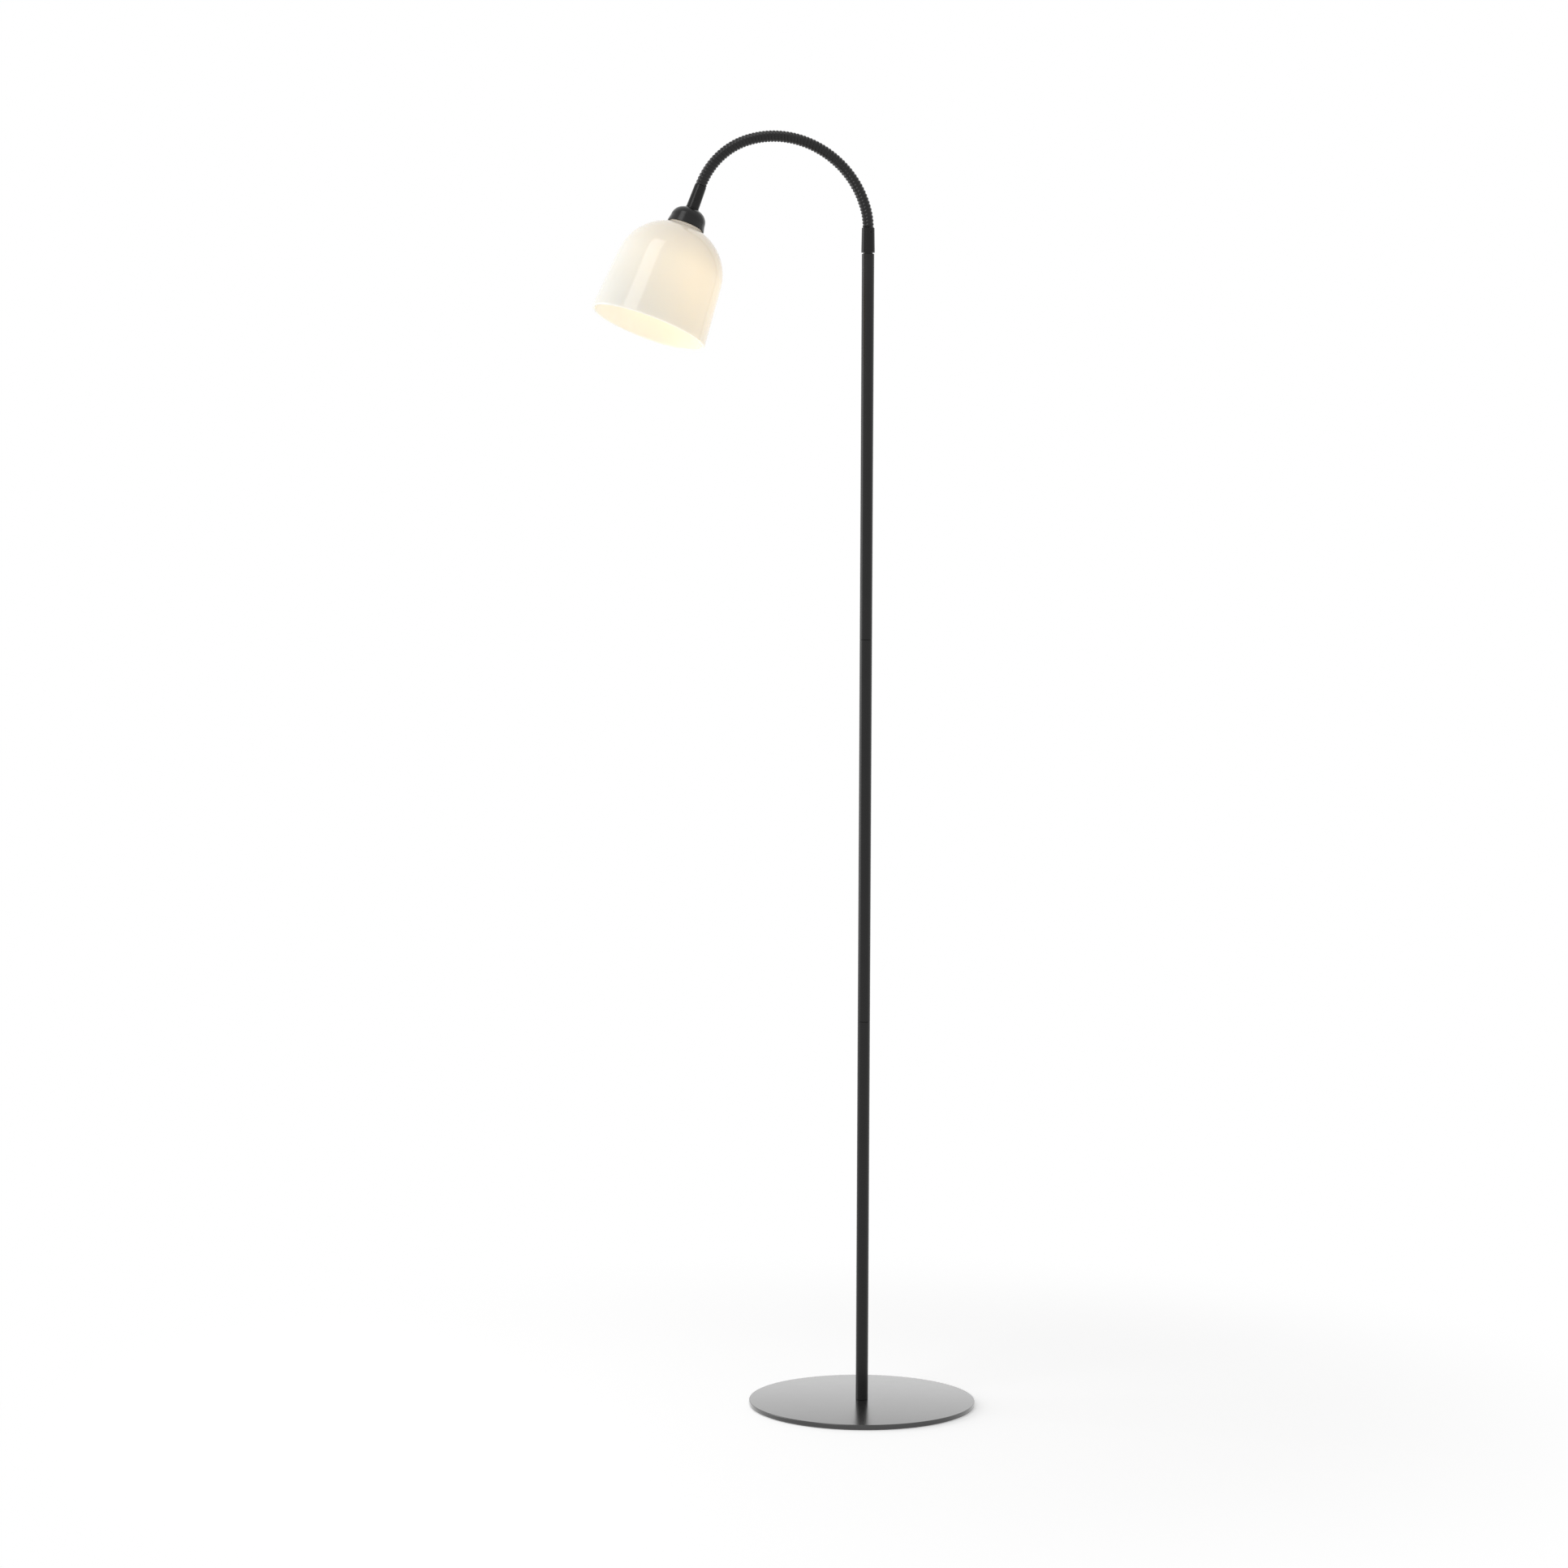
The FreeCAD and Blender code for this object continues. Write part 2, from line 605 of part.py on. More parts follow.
def make_head():
    tip = LINKS[-1].placement()
    glass, seat = shade()
    cap_washer = CAP_TOP + CAP_WALL
    cap_nut = cap_washer + CAP_WASHER_H
    nut = hexagon(CAP_NUT_FLATS, cap_nut, cap_nut + CAP_NUT_H)
    insulator_end = BULB_TIP_Z + BULB_INSULATOR_H
    pieces = {
        "head_ferrule": head_ferrule(),
        "head_ferrule_screws": head_ferrule_screws(),
        "head_threaded_tube": tube(SPIGOT_R, NIPPLE_BORE_R, NIPPLE_START, NIPPLE_END),
        "cap_collar_ring": tube(COLLAR_RING_R, FERRULE_BORE_R, HEAD_FERRULE_H, CAP_TOP),
        "cap": cap(),
        "cap_washer": lathe((FERRULE_BORE_R, cap_washer), (CAP_WASHER_FLAT_R, cap_washer),
                            (CAP_WASHER_R, cap_washer + CAP_WASHER_BEVEL),
                            (CAP_WASHER_R, cap_nut), (FERRULE_BORE_R, cap_nut)),
        "cap_nut": nut.cut(cylinder(FERRULE_BORE_R, cap_nut - 1, cap_nut + CAP_NUT_H + 1)),
        "lampholder_body": lampholder_body(),
        "lampholder_core": lampholder_core(),
        "lampholder_shell": tube(SHELL_R, SHELL_R - SHELL_WALL, CORE_TOP, CORE_END - 1),
        "lampholder_contact": cylinder(CONTACT_R, CORE_TOP, CORE_TOP + CONTACT_H),
        "terminal_screws": terminal_screws(),
        "head_lead": head_lead(),
        "shade_gasket": tube(GLASS_NECK_R, HOLDER_R + 0.05, GLASS_TOP - GASKET_H, GLASS_TOP),
        "shade": glass,
        "shade_ring": shade_ring(seat),
        "bulb_insulator": lathe((0, BULB_TIP_Z), (CONTACT_R, BULB_TIP_Z),
                                (BULB_CAP_R - 0.2, insulator_end), (0, insulator_end)),
        "bulb_cap": cylinder(BULB_CAP_R, insulator_end, insulator_end + BULB_CAP_H),
        "bulb_glass": bulb_glass(),
    }
    for name, piece in pieces.items():
        placed = piece.copy()
        placed.Placement = tip.multiply(placed.Placement)
        write(name, placed)


def main():
    os.makedirs("parts", exist_ok=True)
    make_base()
    make_pole()
    make_swivel()
    make_gooseneck()
    make_head()
    for number, link in enumerate(LINKS):
        print("link %2d at %9.3f %9.3f %9.3f heading %6.2f"
              % (number, link.point.x, link.point.y, link.point.z, link.heading))


main()
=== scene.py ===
"""Looks of the gooseneck reading floor lamp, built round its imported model. Metres, +Z up."""
import json
import math

import bmesh
import bpy
from mathutils import Euler, Matrix, Vector


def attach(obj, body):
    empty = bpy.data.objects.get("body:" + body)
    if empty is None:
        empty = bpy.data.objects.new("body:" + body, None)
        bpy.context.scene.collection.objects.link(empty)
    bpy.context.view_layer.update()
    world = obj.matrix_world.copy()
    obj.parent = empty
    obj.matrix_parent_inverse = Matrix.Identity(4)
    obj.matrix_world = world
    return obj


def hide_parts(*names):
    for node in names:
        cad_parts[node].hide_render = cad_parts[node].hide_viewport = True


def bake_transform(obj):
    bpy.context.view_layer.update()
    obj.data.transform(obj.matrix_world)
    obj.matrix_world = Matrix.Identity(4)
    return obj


MM = 0.001

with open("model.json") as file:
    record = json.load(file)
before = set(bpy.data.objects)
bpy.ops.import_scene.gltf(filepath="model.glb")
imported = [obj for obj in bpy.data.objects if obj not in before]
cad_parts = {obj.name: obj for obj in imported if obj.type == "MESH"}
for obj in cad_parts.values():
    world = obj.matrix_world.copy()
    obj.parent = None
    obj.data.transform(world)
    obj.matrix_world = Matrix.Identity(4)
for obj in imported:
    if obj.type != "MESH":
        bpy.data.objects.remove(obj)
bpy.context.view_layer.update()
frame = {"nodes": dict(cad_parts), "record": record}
nodes = frame["nodes"]
scene = bpy.context.scene

# ---------------------------------------------------------------- camera
IMAGE_SIDE = 1932
FOCAL_PIXELS = 4367.1
SENSOR = 36.0
camera_data = bpy.data.cameras.new("camera")
camera_data.sensor_width = SENSOR
camera_data.lens = FOCAL_PIXELS / IMAGE_SIDE * SENSOR
camera_data.clip_end = 100
camera = bpy.data.objects.new("camera", camera_data)
scene.collection.objects.link(camera)
CAMERA_PLACE = Vector((-0.0848, -3.7003, 0.8431))
CAMERA_PITCH = 2.909            # degrees below the horizon
CAMERA_ROLL = 0.248
aim = Euler((math.radians(90 - CAMERA_PITCH), 0, 0)).to_matrix()
roll = Matrix.Rotation(math.radians(CAMERA_ROLL), 3, "Z")
camera.matrix_world = Matrix.Translation(CAMERA_PLACE) @ (aim @ roll).to_4x4()
scene.camera = camera


# ---------------------------------------------------------------- the gooseneck's line
POLE_TOP = 1.206
NECK_GAP = 0.0012
FERRULE_H = 0.0258
HOSE_START = Vector((0, 0, POLE_TOP + NECK_GAP + FERRULE_H))
PLANE_TURN = math.radians(21.7)
OUTWARD = Vector((-math.cos(PLANE_TURN), -math.sin(PLANE_TURN), 0))
UP = Vector((0, 0, 1))
ACROSS = UP.cross(OUTWARD)
SECTION_LENGTH = 0.01825
SECTION_BENDS = [15.8] + [11.2] * 3 + [9.9] * 6 + [12.5] * 4
SECTIONS = len(SECTION_BENDS)
HOSE_LENGTH = SECTIONS * SECTION_LENGTH


def direction(heading):
    return UP * math.cos(heading) + OUTWARD * math.sin(heading)


def advance(point, heading, distance, bend):
    """The point and heading further along an arc that turns by bend."""
    if abs(bend) < 1e-9:
        return point + direction(heading) * distance, heading
    chord = distance * math.sin(bend / 2) / (bend / 2)
    return point + direction(heading + bend / 2) * chord, heading + bend


links = [(HOSE_START, 0.0)]
for section_bend in SECTION_BENDS:
    links.append(advance(*links[-1], SECTION_LENGTH, math.radians(section_bend)))

HEAD_START = links[-1][0]
HEAD_AXIS = direction(links[-1][1])


# ---------------------------------------------------------------- materials
class Shader:
    """A node material with short calls for the nodes that the finishes need."""

    def __init__(self, name, color, roughness, metallic=0.0):
        self.material = bpy.data.materials.new(name)
        self.material.use_nodes = True
        self.tree = self.material.node_tree
        self.principled = self.tree.nodes["Principled BSDF"]
        self.set("Base Color", (*color, 1))
        self.set("Roughness", roughness)
        self.set("Metallic", metallic)
        self.coordinates = self.tree.nodes.new("ShaderNodeTexCoord").outputs["Object"]

    def set(self, socket, value):
        self.principled.inputs[socket].default_value = value

    def join(self, output, socket):
        self.tree.links.new(output, self.principled.inputs[socket])

    def noise(self, scale, detail=2.0, stretch=(1, 1, 1)):
        mapping = self.tree.nodes.new("ShaderNodeMapping")
        mapping.inputs["Scale"].default_value = stretch
        self.tree.links.new(self.coordinates, mapping.inputs["Vector"])
        node = self.tree.nodes.new("ShaderNodeTexNoise")
        node.inputs["Scale"].default_value = scale
        node.inputs["Detail"].default_value = detail
        self.tree.links.new(mapping.outputs["Vector"], node.inputs["Vector"])
        return node.outputs["Fac"]

    def spread(self, value, low, high, start=0.3, end=0.7):
        """A value from low to high as the input goes from start to end."""
        node = self.tree.nodes.new("ShaderNodeMapRange")
        for socket, number in zip(
            ("From Min", "From Max", "To Min", "To Max"), (start, end, low, high)
        ):
            node.inputs[socket].default_value = number
        self.tree.links.new(value, node.inputs["Value"])
        return node.outputs["Result"]

    def along(self, origin, axis, near, far):
        """A value from 0 to 1 between two distances from a point along an axis of the object."""
        node = self.tree.nodes.new("ShaderNodeVectorMath")
        node.operation = "DOT_PRODUCT"
        node.inputs[1].default_value = axis
        self.tree.links.new(self.coordinates, node.inputs[0])
        shift = Vector(origin).dot(Vector(axis))
        return self.spread(node.outputs["Value"], 0, 1, shift + near, shift + far)

    def mixed(self, value, first, second):
        """A colour from first to second; each is a colour or another node's output."""
        node = self.tree.nodes.new("ShaderNodeMix")
        node.data_type = "RGBA"
        for socket, color in (("A", first), ("B", second)):
            if isinstance(color, tuple):
                node.inputs[socket].default_value = (*color, 1)
            else:
                self.tree.links.new(color, node.inputs[socket])
        self.tree.links.new(value, node.inputs["Factor"])
        return node.outputs["Result"]

    def tint(self, value, dark, light):
        """The base colour, mixed from two colours by a value."""
        self.join(self.mixed(value, dark, light), "Base Color")

    def bump(self, height, strength, distance):
        node = self.tree.nodes.new("ShaderNodeBump")
        node.inputs["Strength"].default_value = strength
        node.inputs["Distance"].default_value = distance
        self.tree.links.new(height, node.inputs["Height"])
        self.join(node.outputs["Normal"], "Normal")


def powder_coat(name, color, roughness, specular, coat, coat_roughness=0.2):
    """Satin black coating with a fine grain under a thin clear skin."""
    shader = Shader(name, color, roughness)
    grain = shader.noise(2600, 2)
    patches = shader.noise(60, 3)
    lighter = tuple(1.2 * c for c in color)
    shader.tint(shader.spread(patches, 0, 1), color, lighter)
    shader.join(shader.spread(patches, roughness - 0.01, roughness + 0.01), "Roughness")
    shader.set("Specular IOR Level", specular)
    shader.set("Coat Weight", coat)
    shader.set("Coat Roughness", coat_roughness)
    shader.bump(grain, 0.03, 0.0001)
    return shader.material


def plated_steel():
    shader = Shader("plated_steel", (0.62, 0.62, 0.63), 0.3, 1.0)
    brushed = shader.noise(900, 3, (1, 1, 0.08))
    shader.join(shader.spread(brushed, 0.24, 0.4), "Roughness")
    shader.tint(shader.spread(shader.noise(90), 0, 1), (0.55, 0.55, 0.57), (0.66, 0.66, 0.66))
    shader.bump(brushed, 0.15, 0.00005)
    return shader.material


def brass():
    shader = Shader("brass", (0.72, 0.55, 0.26), 0.3, 1.0)
    tarnish = shader.noise(120, 4)
    shader.join(shader.spread(tarnish, 0.2, 0.38), "Roughness")
    shader.tint(shader.spread(tarnish, 0, 1), (0.58, 0.42, 0.18), (0.76, 0.59, 0.3))
    return shader.material


def matt(name, dark, light, roughness, scale, distance):
    """A matt moulded or fired surface with a fine pitted grain."""
    shader = Shader(name, dark, roughness)
    grain = shader.noise(scale, 4)
    shader.tint(shader.spread(grain, 0, 1), dark, light)
    shader.join(shader.spread(grain, roughness - 0.05, roughness + 0.05), "Roughness")
    shader.bump(grain, 0.3, distance)
    return shader.material


DOME_SPAN = (0.046, 0.09)       # along the head's axis, from the glass's top down the dome, where the base colour lightens and the painted light turns from even to side-to-side
MOUTH_SPAN = (0.11, 0.152)      # along the head's axis, down the sides to the mouth, over which the painted light grows weaker
PAINTED_GLOW_SPAN = (-0.085, -0.005)    # along X from the head's start, left side to right, over which the painted light grows warmer and stronger


def opal_glass():
    """Opal glass under a glossy skin, milky; its emission is painted light, standing in for light
    through the glass: weak on the -X side, warm and strong towards +X, weaker towards the mouth.
    """
    shader = Shader("opal_glass", (0.9, 0.86, 0.76), 0.4)
    cloud = shader.spread(shader.noise(14, 2), 0, 1)
    milk = shader.mixed(cloud, (0.87, 0.845, 0.765), (0.885, 0.86, 0.795))
    down = shader.along(HEAD_START, HEAD_AXIS, *DOME_SPAN)
    # the base colour is a little darker over the top of the dome
    shader.join(shader.mixed(down, (0.83, 0.81, 0.75), milk), "Base Color")
    shader.set("Specular IOR Level", 0.0)
    shader.set("Coat Weight", 1.0)
    shader.set("Coat Roughness", 0.06)
    shader.set("Subsurface Weight", 0.2)
    shader.set("Subsurface Radius", (1.0, 0.85, 0.6))
    shader.set("Subsurface Scale", 0.005)
    # painted light: the emission colour is weak on the -X side, warm and strong towards +X, weaker
    # towards the mouth, and even over the dome's top
    side = shader.along(HEAD_START, (1.0, 0.0, 0.0), *PAINTED_GLOW_SPAN)
    painted_glow = shader.mixed(side, (0.1, 0.1, 0.09), (0.45, 0.335, 0.18))
    painted_glow_mouth = shader.mixed(side, (0.09, 0.09, 0.08), (0.34, 0.26, 0.155))
    low = shader.along(HEAD_START, HEAD_AXIS, *MOUTH_SPAN)
    painted_glow = shader.mixed(low, painted_glow, painted_glow_mouth)
    shader.join(shader.mixed(down, (0.33, 0.28, 0.22), painted_glow), "Emission Color")
    shader.set("Emission Strength", 1.0)
    shader.bump(shader.noise(22, 1), 0.04, 0.0012)
    return shader.material


def frosted_bulb():
    shader = Shader("frosted_bulb", (0.95, 0.92, 0.85), 0.35)
    shader.bump(shader.noise(1800, 2), 0.1, 0.00005)
    shader.set("Emission Color", (1.0, 0.94, 0.84, 1))
    shader.set("Emission Strength", 0.06)
    return shader.material


BLACK = (0.006, 0.0058, 0.0058)
finishes = {
    "powder_coat": powder_coat("powder_coat", BLACK, 0.24, 0.2, 0.25),
    "black_hose": powder_coat("black_hose", BLACK, 0.26, 0.2, 0.25, 0.14),
    "bare_steel": plated_steel(),
    "opal_glass": opal_glass(),
    "bulb_opal": frosted_bulb(),
    "brass": brass(),
    "holder_plastic": matt(
        "holder_plastic", (0.02, 0.02, 0.02), (0.032, 0.032, 0.032), 0.5, 1500, 0.00008
    ),
    "ceramic": matt("ceramic", (0.8, 0.79, 0.75), (0.87, 0.86, 0.83), 0.7, 700, 0.00015),
    "black_rubber": matt(
        "black_rubber", (0.018, 0.018, 0.018), (0.03, 0.03, 0.03), 0.62, 1200, 0.0001
    ),
    "pad": matt("pad", (0.03, 0.03, 0.03), (0.05, 0.05, 0.05), 0.85, 900, 0.0003),
    "lead_sheath": matt(
        "lead_sheath", (0.022, 0.022, 0.022), (0.034, 0.034, 0.034), 0.5, 1100, 0.0001
    ),
}
gloss_black = powder_coat("gloss_black", BLACK, 0.16, 0.15, 0.2, 0.1)
GLOSSY_NODES = ("head_ferrule", "cap_collar_ring", "pole_ferrule")
for part in frame["record"]["subparts"]:
    node = nodes[part["node"]]
    finish = finishes[part["material_slot"]]
    node.data.materials.clear()
    node.data.materials.append(gloss_black if node.name in GLOSSY_NODES else finish)


# ---------------------------------------------------------------- the wound hose
def on_hose(s):
    """The gooseneck's centre line and heading at a distance s from its start."""
    if s < 0:
        return advance(*links[0], s, 0.0)
    if s > HOSE_LENGTH:
        return advance(*links[-1], s - HOSE_LENGTH, 0.0)
    index = min(int(s / SECTION_LENGTH), SECTIONS - 1)
    share = s / SECTION_LENGTH - index
    bend = math.radians(SECTION_BENDS[index])
    return advance(*links[index], share * SECTION_LENGTH, bend * share)


def mesh_object(name, points, faces, material):
    mesh = bpy.data.meshes.new(name)
    mesh.from_pydata([tuple(p) for p in points], [], faces)
    mesh.validate()
    mesh.update()
    mesh.shade_smooth()
    mesh.materials.append(material)
    item = bpy.data.objects.new(name, mesh)
    scene.collection.objects.link(item)
    return item


def ring_point(s, radius, angle):
    point, heading = on_hose(s)
    inward = OUTWARD * math.cos(heading) - UP * math.sin(heading)
    return point + (inward * math.cos(angle) + ACROSS * math.sin(angle)) * radius


SIDES = 32
RIBS_PER_SECTION = 5
PITCH = SECTION_LENGTH / RIBS_PER_SECTION
THREAD = (5.12, 5.36, 5.62, 5.86, 5.95, 5.86, 5.62, 5.36)     # mm, root to crest to root
THREAD_STEPS = len(THREAD)
BORE = 0.0026
INSIDE_FERRULE = 0.0048         # the thread is turned down where a ferrule holds it


def wound_piece(name, start, turns):
    """A closed length of wound hose: a spiral V thread outside, a plain bore inside."""
    rows = turns * THREAD_STEPS + 1
    places = []
    for row in range(rows):
        for side in range(SIDES):
            s = start + PITCH * (row / THREAD_STEPS + side / SIDES - 0.5)
            radius = THREAD[row % THREAD_STEPS] * MM
            if not 0 <= s <= HOSE_LENGTH:
                radius = min(radius, INSIDE_FERRULE)
            places.append((s, side, radius))
    outer = [ring_point(s, r, 2 * math.pi * k / SIDES) for s, k, r in places]
    inner = [ring_point(s, BORE, 2 * math.pi * k / SIDES) for s, k, r in places]
    cells = []
    for row in range(rows - 1):
        for side in range(SIDES):
            here = row * SIDES + side
            if side < SIDES - 1:
                cells.append((here, here + 1, here + SIDES + 1, here + SIDES))
            elif row + THREAD_STEPS + 1 < rows:
                after = (row + THREAD_STEPS) * SIDES
                cells.append((here, after, after + SIDES, here + SIDES))
    count = len(outer)
    edges = {}
    for a, b, c, d in cells:
        for edge in ((a, b), (b, c), (c, d), (d, a)):
            edges[edge] = True
    faces = list(cells)
    faces += [tuple(count + v for v in reversed(cell)) for cell in cells]
    for a, b in edges:
        if (b, a) not in edges:
            faces.append((b, a, count + a, count + b))
    item = mesh_object(name, outer + inner, faces, finishes["black_hose"])
    root_rows = [v.index % count // SIDES % THREAD_STEPS == 0 for v in item.data.vertices]
    for edge in item.data.edges:
        a, b = edge.vertices
        crosses = (a < count) != (b < count)
        along_root = a < count and b < count and root_rows[a] and root_rows[b]
        edge.use_edge_sharp = crosses or along_root
    return item


LEAD_R = 0.0019
LEAD_SIDES = 12
LEAD_ROWS = 9


def lead_piece(name, start, end):
    """A closed length of the lead inside the gooseneck."""
    sides, rows, radius = LEAD_SIDES, LEAD_ROWS, LEAD_R
    points = []
    for row in range(rows):
        s = start + (end - start) * row / (rows - 1)
        points += [ring_point(s, radius, 2 * math.pi * k / sides) for k in range(sides)]
    faces = [tuple(reversed(range(sides))), tuple(range((rows - 1) * sides, rows * sides))]
    for row in range(rows - 1):
        for side in range(sides):
            a, b = row * sides + side, row * sides + (side + 1) % sides
            faces.append((a, b, b + sides, a + sides))
    return mesh_object(name, points, faces, finishes["lead_sheath"])


def hose_body(section):
    if section == 1:
        return "swivel"
    return "head" if section == SECTIONS else f"hose_{section:02d}"


def section_name(section):
    return f"gooseneck_section_{section:02d}"


def middle(section):
    return (section - 0.5) * SECTION_LENGTH


def place_hose(item, lead, number):
    """Places a hose piece and its lead, which reach from one section to the next: the end pieces
    ride their body, the others are baked in place.
    """
    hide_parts("gooseneck_lead")
    if number in (0, SECTIONS):
        body = hose_body(max(number, 1))
        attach(item, body)
        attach(lead, body)
        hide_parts(section_name(max(number, 1)))
        return
    for piece in (item, lead):
        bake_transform(piece)
    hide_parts(section_name(number + 1))


TURNS = 5
HALF_TURNS = 3
for number in range(SECTIONS + 1):
    if number == 0:
        first, last, turns = middle(1) - HALF_TURNS * PITCH, middle(1), HALF_TURNS
    elif number == SECTIONS:
        first, last, turns = middle(number), HOSE_LENGTH, HALF_TURNS
    else:
        first, last, turns = middle(number), middle(number + 1), TURNS
    hose = wound_piece(f"hose_{number:02d}_wound", first, turns)
    lead = lead_piece(f"hose_{number:02d}_lead", first, last)
    place_hose(hose, lead, number)


# ---------------------------------------------------------------- turned pieces
def arc(centre, radius, start, end, steps):
    """Points of an arc as (radius, height), with angles in degrees."""
    points = []
    for step in range(steps + 1):
        angle = math.radians(start + (end - start) * step / steps)
        points.append((centre[0] + radius * math.cos(angle), centre[1] + radius * math.sin(angle)))
    return points


def run(start, end, steps):
    """Points of a straight line between two points, its ends left out."""
    return [
        (
            start[0] + (end[0] - start[0]) * step / steps,
            start[1] + (end[1] - start[1]) * step / steps,
        )
        for step in range(1, steps)
    ]


def turned(name, profile, finish, origin, axis, sides=160, sharp=35):
    """A closed solid of revolution, from a closed outline in mm of (radius, distance along axis)."""
    axis = Vector(axis)
    across = axis.orthogonal().normalized()
    beside = axis.cross(across)
    points, rings = [], []
    for radius, height in profile:
        middle_point = Vector(origin) + axis * height * MM
        if radius < 1e-6:
            rings.append([len(points)] * sides)
            points.append(middle_point)
            continue
        rings.append(list(range(len(points), len(points) + sides)))
        for side in range(sides):
            angle = 2 * math.pi * side / sides
            spoke = across * math.cos(angle) + beside * math.sin(angle)
            points.append(middle_point + spoke * radius * MM)
    faces = []
    for index, ring in enumerate(rings):
        above = rings[(index + 1) % len(rings)]
        if ring[0] == ring[1] and above[0] == above[1]:
            continue
        for side in range(sides):
            after = (side + 1) % sides
            corners = [ring[side], ring[after], above[after], above[side]]
            faces.append(tuple(dict.fromkeys(corners)))
    item = mesh_object(name, points, faces, finishes[finish])
    bm = bmesh.new()
    bm.from_mesh(item.data)
    bmesh.ops.recalc_face_normals(bm, faces=bm.faces)
    bm.to_mesh(item.data)
    bm.free()
    item.data.set_sharp_from_angle(angle=math.radians(sharp))
    return item


def on_head(item, *replaced):
    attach(item, "head")
    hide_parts(*replaced)


DOME = (3.7, 96.2)
DOME_R = 52.0
GLASS = 3.0
FLARE = 4.7
MOUTH = 156.0
NECK_R = 17.6
HOLE_R = 13.3
GLASS_TOP = 44.3


def shade_outline():
    slope = math.tan(math.radians(FLARE))
    thick = GLASS / math.cos(math.radians(FLARE))
    outer_dome = arc(DOME, DOME_R, -73, -FLARE, 44)
    inner_dome = arc(DOME, DOME_R - GLASS, -FLARE, -73.4, 44)
    lip = GLASS / 2
    foot_r = outer_dome[-1][0] + (MOUTH - lip - outer_dome[-1][1]) * slope
    outer_foot, inner_foot = (foot_r, MOUTH - lip), (foot_r - thick, MOUTH - lip)
    rim = arc((foot_r - thick / 2, MOUTH - lip), thick / 2, 0, 180, 12)
    neck = arc((NECK_R - 0.8, GLASS_TOP + 0.8), 0.8, -90, 0, 5)
    return (
        neck
        + outer_dome
        + run(outer_dome[-1], outer_foot, 12)
        + rim
        + run(inner_foot, inner_dome[0], 12)
        + inner_dome
        + [(HOLE_R, inner_dome[-1][1]), (HOLE_R, GLASS_TOP)]
    )


CAP_TOP, CAP_RIM, CAP_WALL = 26.0, 45.0, 1.2
CAP_CROWN_R, CAP_SHOULDER_R, CAP_RIM_R = 6.0, 12.2, 19.5
CAP_HOLE_R = 5.0


def cap_outline():
    centre = (CAP_CROWN_R, CAP_TOP + CAP_SHOULDER_R)
    outer = arc(centre, CAP_SHOULDER_R, -90, 0, 28)
    inner = arc(centre, CAP_SHOULDER_R - CAP_WALL, 0, -90, 28)
    rim_r = CAP_RIM_R - CAP_WALL / 2
    rim = arc((rim_r, CAP_RIM - CAP_WALL / 2), CAP_WALL / 2, 0, 180, 8)
    hole = [(CAP_HOLE_R, CAP_TOP + CAP_WALL), (CAP_HOLE_R, CAP_TOP)]
    return outer + run(outer[-1], rim[0], 5) + rim + run(rim[-1], inner[0], 5) + inner + hole


on_head(turned("shade_opal", shade_outline(), "opal_glass", HEAD_START, HEAD_AXIS, 192), "shade")
on_head(turned("cap_spun", cap_outline(), "powder_coat", HEAD_START, HEAD_AXIS), "cap")

BASE_R, PAD_H, PLATE_TOP = 119.0, 1.0, 6.0
RECESS_R, RECESS_TOP = 12.0, 3.8
TUBE_HOLE_R = 4.1
EDGE_R = 0.9


def base_outline():
    top = arc((BASE_R - EDGE_R, PLATE_TOP - EDGE_R), EDGE_R, 90, 0, 6)
    bottom = arc((BASE_R - EDGE_R, PAD_H + EDGE_R), EDGE_R, 0, -90, 6)
    under = [(RECESS_R, PAD_H), (RECESS_R, RECESS_TOP), (TUBE_HOLE_R, RECESS_TOP)]
    return [(TUBE_HOLE_R, PLATE_TOP)] + top + bottom + under


base = turned("base_disc", base_outline(), "powder_coat", (0, 0, 0), (0, 0, 1), 256)
base.data.materials[0] = powder_coat("base_coat", BLACK, 0.22, 0.5, 1.0)
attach(base, "root")
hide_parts("base_plate")

# ---------------------------------------------------------------- floor, light and background
WHITE = (1, 1, 1, 1)
SKY_FRONT = 0.1                 # strength of the light from the camera's side
SKY_HORIZON = 0.5               # strength of the light from the horizon, against that above it
FLOOR_LIFT = 0.55               # light that the floor gives off by itself, so that it shows white
FLOOR_HALF = 30.0
FLOOR_FADE = (0.35, 0.9)        # distances over which the lit floor turns plain white
SKY_TOP = 0.2                   # strength of the light from overhead


class Graph:
    """Short calls for the nodes of the floor's and the world's shaders."""

    def __init__(self, tree):
        self.tree = tree

    def node(self, kind, **sockets):
        made = self.tree.nodes.new("ShaderNode" + kind)
        for socket, value in sockets.items():
            made.inputs[socket.replace("_", " ")].default_value = value
        return made

    def link(self, output, socket):
        self.tree.links.new(output, socket)

    def ramp(self, value, start, end, low, high):
        node = self.node("MapRange", From_Min=start, From_Max=end, To_Min=low, To_Max=high)
        node.interpolation_type = "SMOOTHSTEP"
        self.link(value, node.inputs["Value"])
        return node.outputs["Result"]

    def dot(self, vector, axis):
        node = self.node("VectorMath")
        node.operation = "DOT_PRODUCT"
        node.inputs[1].default_value = axis
        self.link(vector, node.inputs[0])
        return node.outputs["Value"]

    def combine(self, operation, *values):
        result = values[0]
        for value in values[1:]:
            node = self.node("Math")
            node.operation = operation
            self.link(result, node.inputs[0])
            self.link(value, node.inputs[1])
            result = node.outputs["Value"]
        return result

    def mix(self, factor, first, second):
        node = self.node("MixShader")
        self.link(factor, node.inputs["Fac"])
        self.link(first, node.inputs[1])
        self.link(second, node.inputs[2])
        return node.outputs["Shader"]


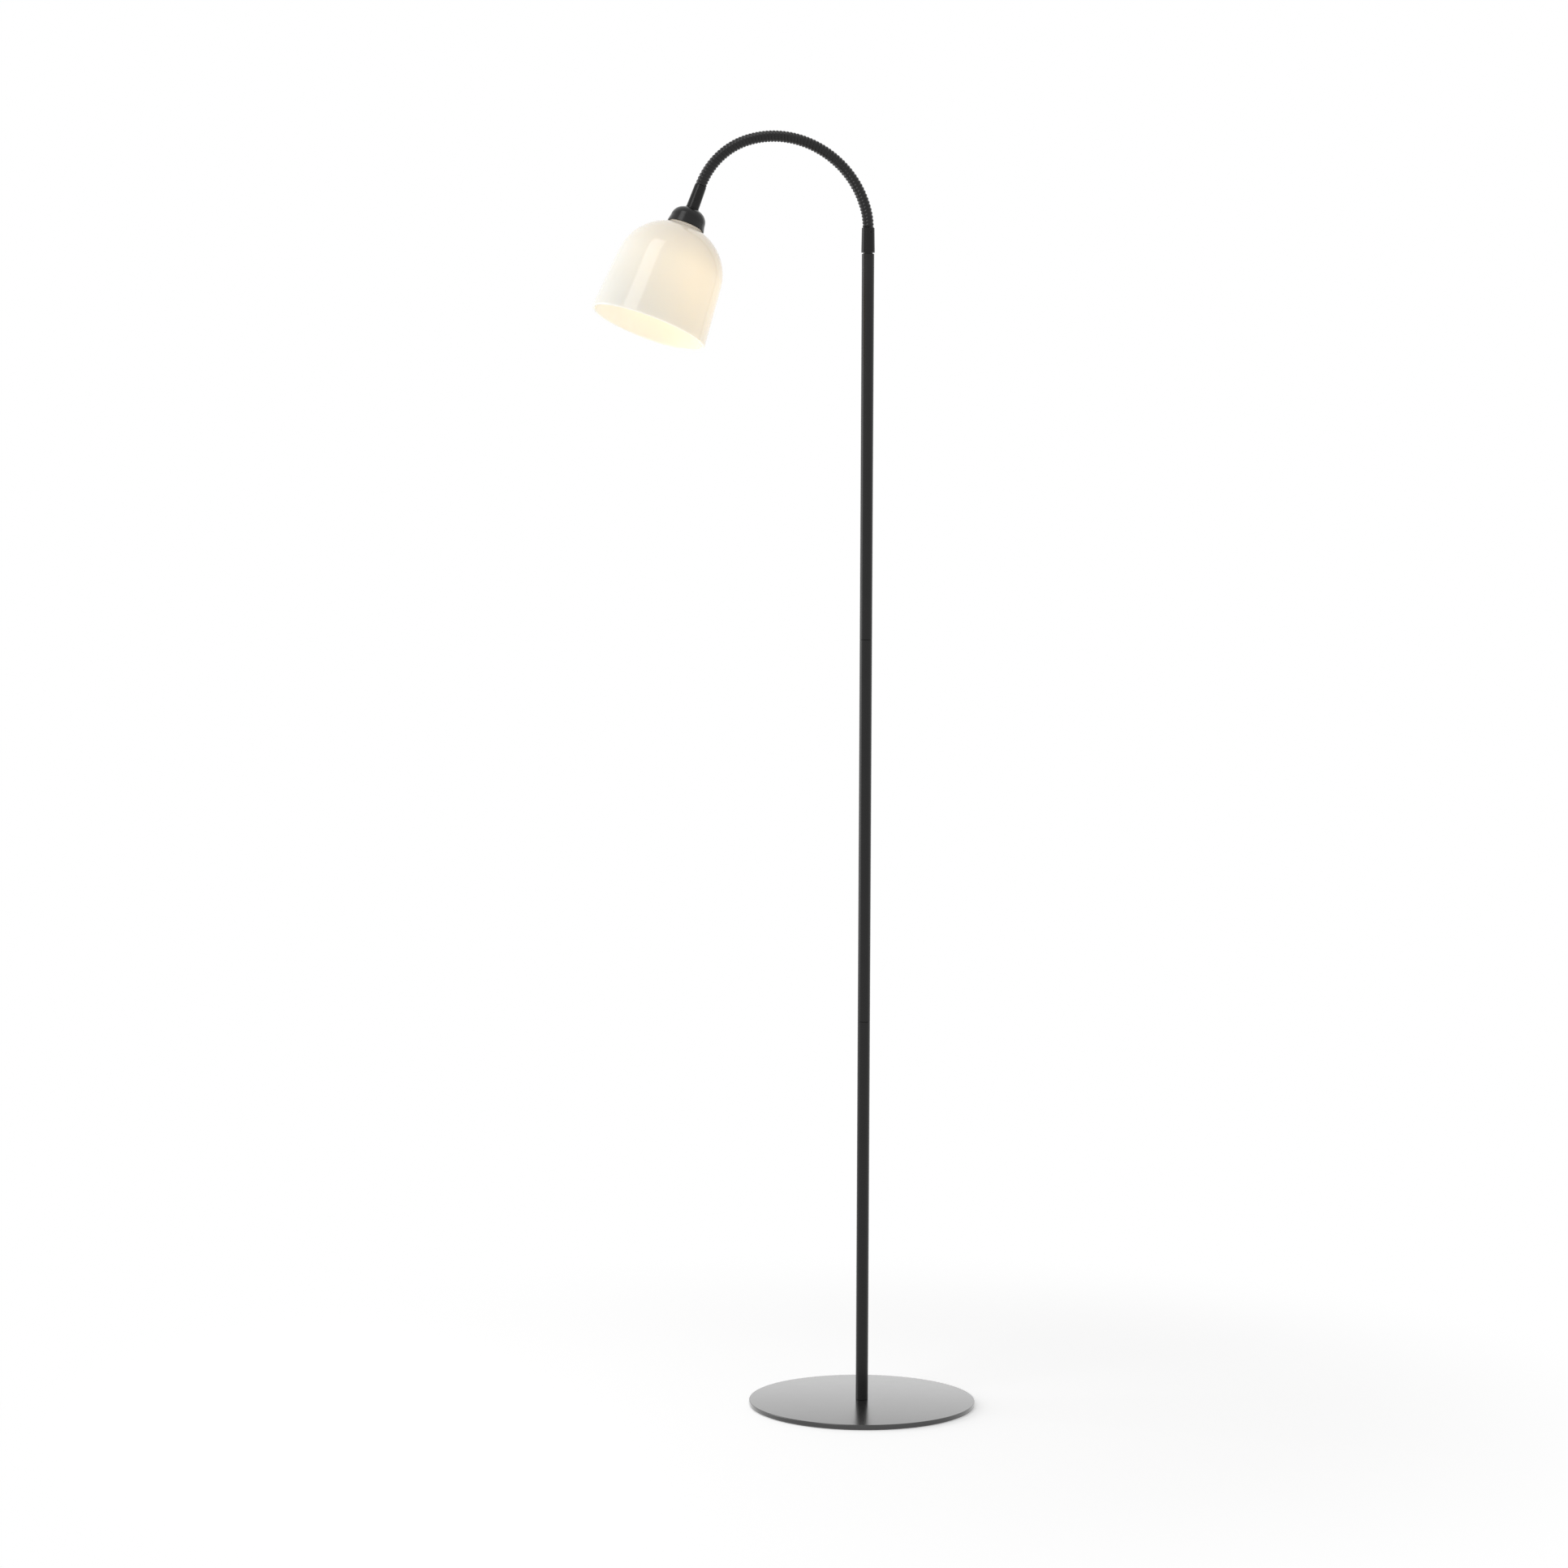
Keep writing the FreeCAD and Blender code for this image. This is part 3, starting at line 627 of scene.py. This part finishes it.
def stage_floor():
    """A wide pale floor: lit near the lamp, so that it holds the shadow, and plain white beyond."""
    size = FLOOR_HALF
    corners = [(-size, -size, 0), (size, -size, 0), (size, size, 0), (-size, size, 0)]
    material = bpy.data.materials.new("floor")
    item = mesh_object("floor", corners, [(0, 1, 2, 3)], material)
    material.use_nodes = True
    graph = Graph(material.node_tree)
    surface = material.node_tree.nodes["Principled BSDF"]
    surface.inputs["Base Color"].default_value = (0.92, 0.92, 0.92, 1)
    surface.inputs["Roughness"].default_value = 0.6
    surface.inputs["Specular IOR Level"].default_value = 0.0
    surface.inputs["Emission Color"].default_value = WHITE
    surface.inputs["Emission Strength"].default_value = FLOOR_LIFT
    place = graph.node("TexCoord").outputs["Object"]
    distance = graph.node("VectorMath")
    distance.operation = "LENGTH"
    graph.link(place, distance.inputs[0])
    fade = graph.ramp(distance.outputs["Value"], *FLOOR_FADE, 0.0, 1.0)
    white = graph.node("Emission", Color=WHITE, Strength=1.0)
    seen = graph.mix(fade, surface.outputs["BSDF"], white.outputs["Emission"])
    graph.link(seen, material.node_tree.nodes["Material Output"].inputs["Surface"])


def world_light():
    """White where it is seen, also in gloss and glass; as light, mostly from behind and the left."""
    world = bpy.data.worlds.new("world")
    scene.world = world
    world.use_nodes = True
    world.node_tree.nodes.clear()
    graph = Graph(world.node_tree)
    where = graph.node("TexCoord").outputs["Generated"]
    depth = graph.ramp(graph.dot(where, (-0.6, 0.8, 0.0)), 0.0, 0.6, SKY_FRONT, 1.0)
    height = graph.dot(where, (0, 0, 1))
    top = graph.ramp(height, 0.35, 0.8, 1.0, SKY_TOP)
    horizon = graph.ramp(height, 0.02, 0.12, SKY_HORIZON, 1.0)
    soft = graph.node("Background", Color=WHITE)
    plain = graph.node("Background", Color=WHITE, Strength=1.0)
    graph.link(graph.combine("MULTIPLY", depth, top, horizon), soft.inputs["Strength"])
    path = graph.node("LightPath")
    rays = [path.outputs["Is %s Ray" % kind] for kind in ("Camera", "Glossy", "Transmission")]
    shows = graph.combine("MAXIMUM", *rays)
    both = graph.mix(shows, soft.outputs["Background"], plain.outputs["Background"])
    graph.link(both, graph.node("OutputWorld").inputs["Surface"])


def softbox(name, place, target, width, height, radiance, glossy=True):
    light = bpy.data.lights.new(name, "AREA")
    light.shape = "RECTANGLE"
    light.size = width
    light.size_y = height
    light.energy = radiance * math.pi * width * height
    item = bpy.data.objects.new(name, light)
    item.location = place
    item.rotation_euler = (Vector(target) - Vector(place)).to_track_quat("-Z", "Y").to_euler()
    item.visible_camera = False
    item.visible_glossy = glossy
    scene.collection.objects.link(item)


stage_floor()
world_light()
KEY_AZIMUTH = 38.0              # degrees to the left of the camera's side
KEY_HEIGHT = 42.0               # degrees up
KEY_DISTANCE = 2.5
KEY_WIDTH, KEY_LENGTH = 1.2, 2.7
KEY_RADIANCE = 2.2
head_place = Vector((-0.21, -0.12, 1.18))
turn, lift = math.radians(KEY_AZIMUTH), math.radians(KEY_HEIGHT)
towards = Vector(
    (-math.sin(turn) * math.cos(lift), -math.cos(turn) * math.cos(lift), math.sin(lift))
)
key_place = head_place + towards * KEY_DISTANCE
softbox("key", key_place, head_place, KEY_WIDTH, KEY_LENGTH, KEY_RADIANCE)
SIDE_PLACE, SIDE_TARGET = (-2.6, 0.25, 1.25), (0, 0, 1.25)
SIDE_WIDTH, SIDE_LENGTH = 1.4, 2.1
SIDE_RADIANCE = 1.9
ABOVE_PLACE, ABOVE_TARGET = (0, 0, 4.5), (0, 0, 0)
ABOVE_SIZE = 4.0
ABOVE_RADIANCE = 0.35
softbox("side", SIDE_PLACE, SIDE_TARGET, SIDE_WIDTH, SIDE_LENGTH, SIDE_RADIANCE)
softbox("above", ABOVE_PLACE, ABOVE_TARGET, ABOVE_SIZE, ABOVE_SIZE, ABOVE_RADIANCE, glossy=False)

scene.view_settings.view_transform = "Standard"
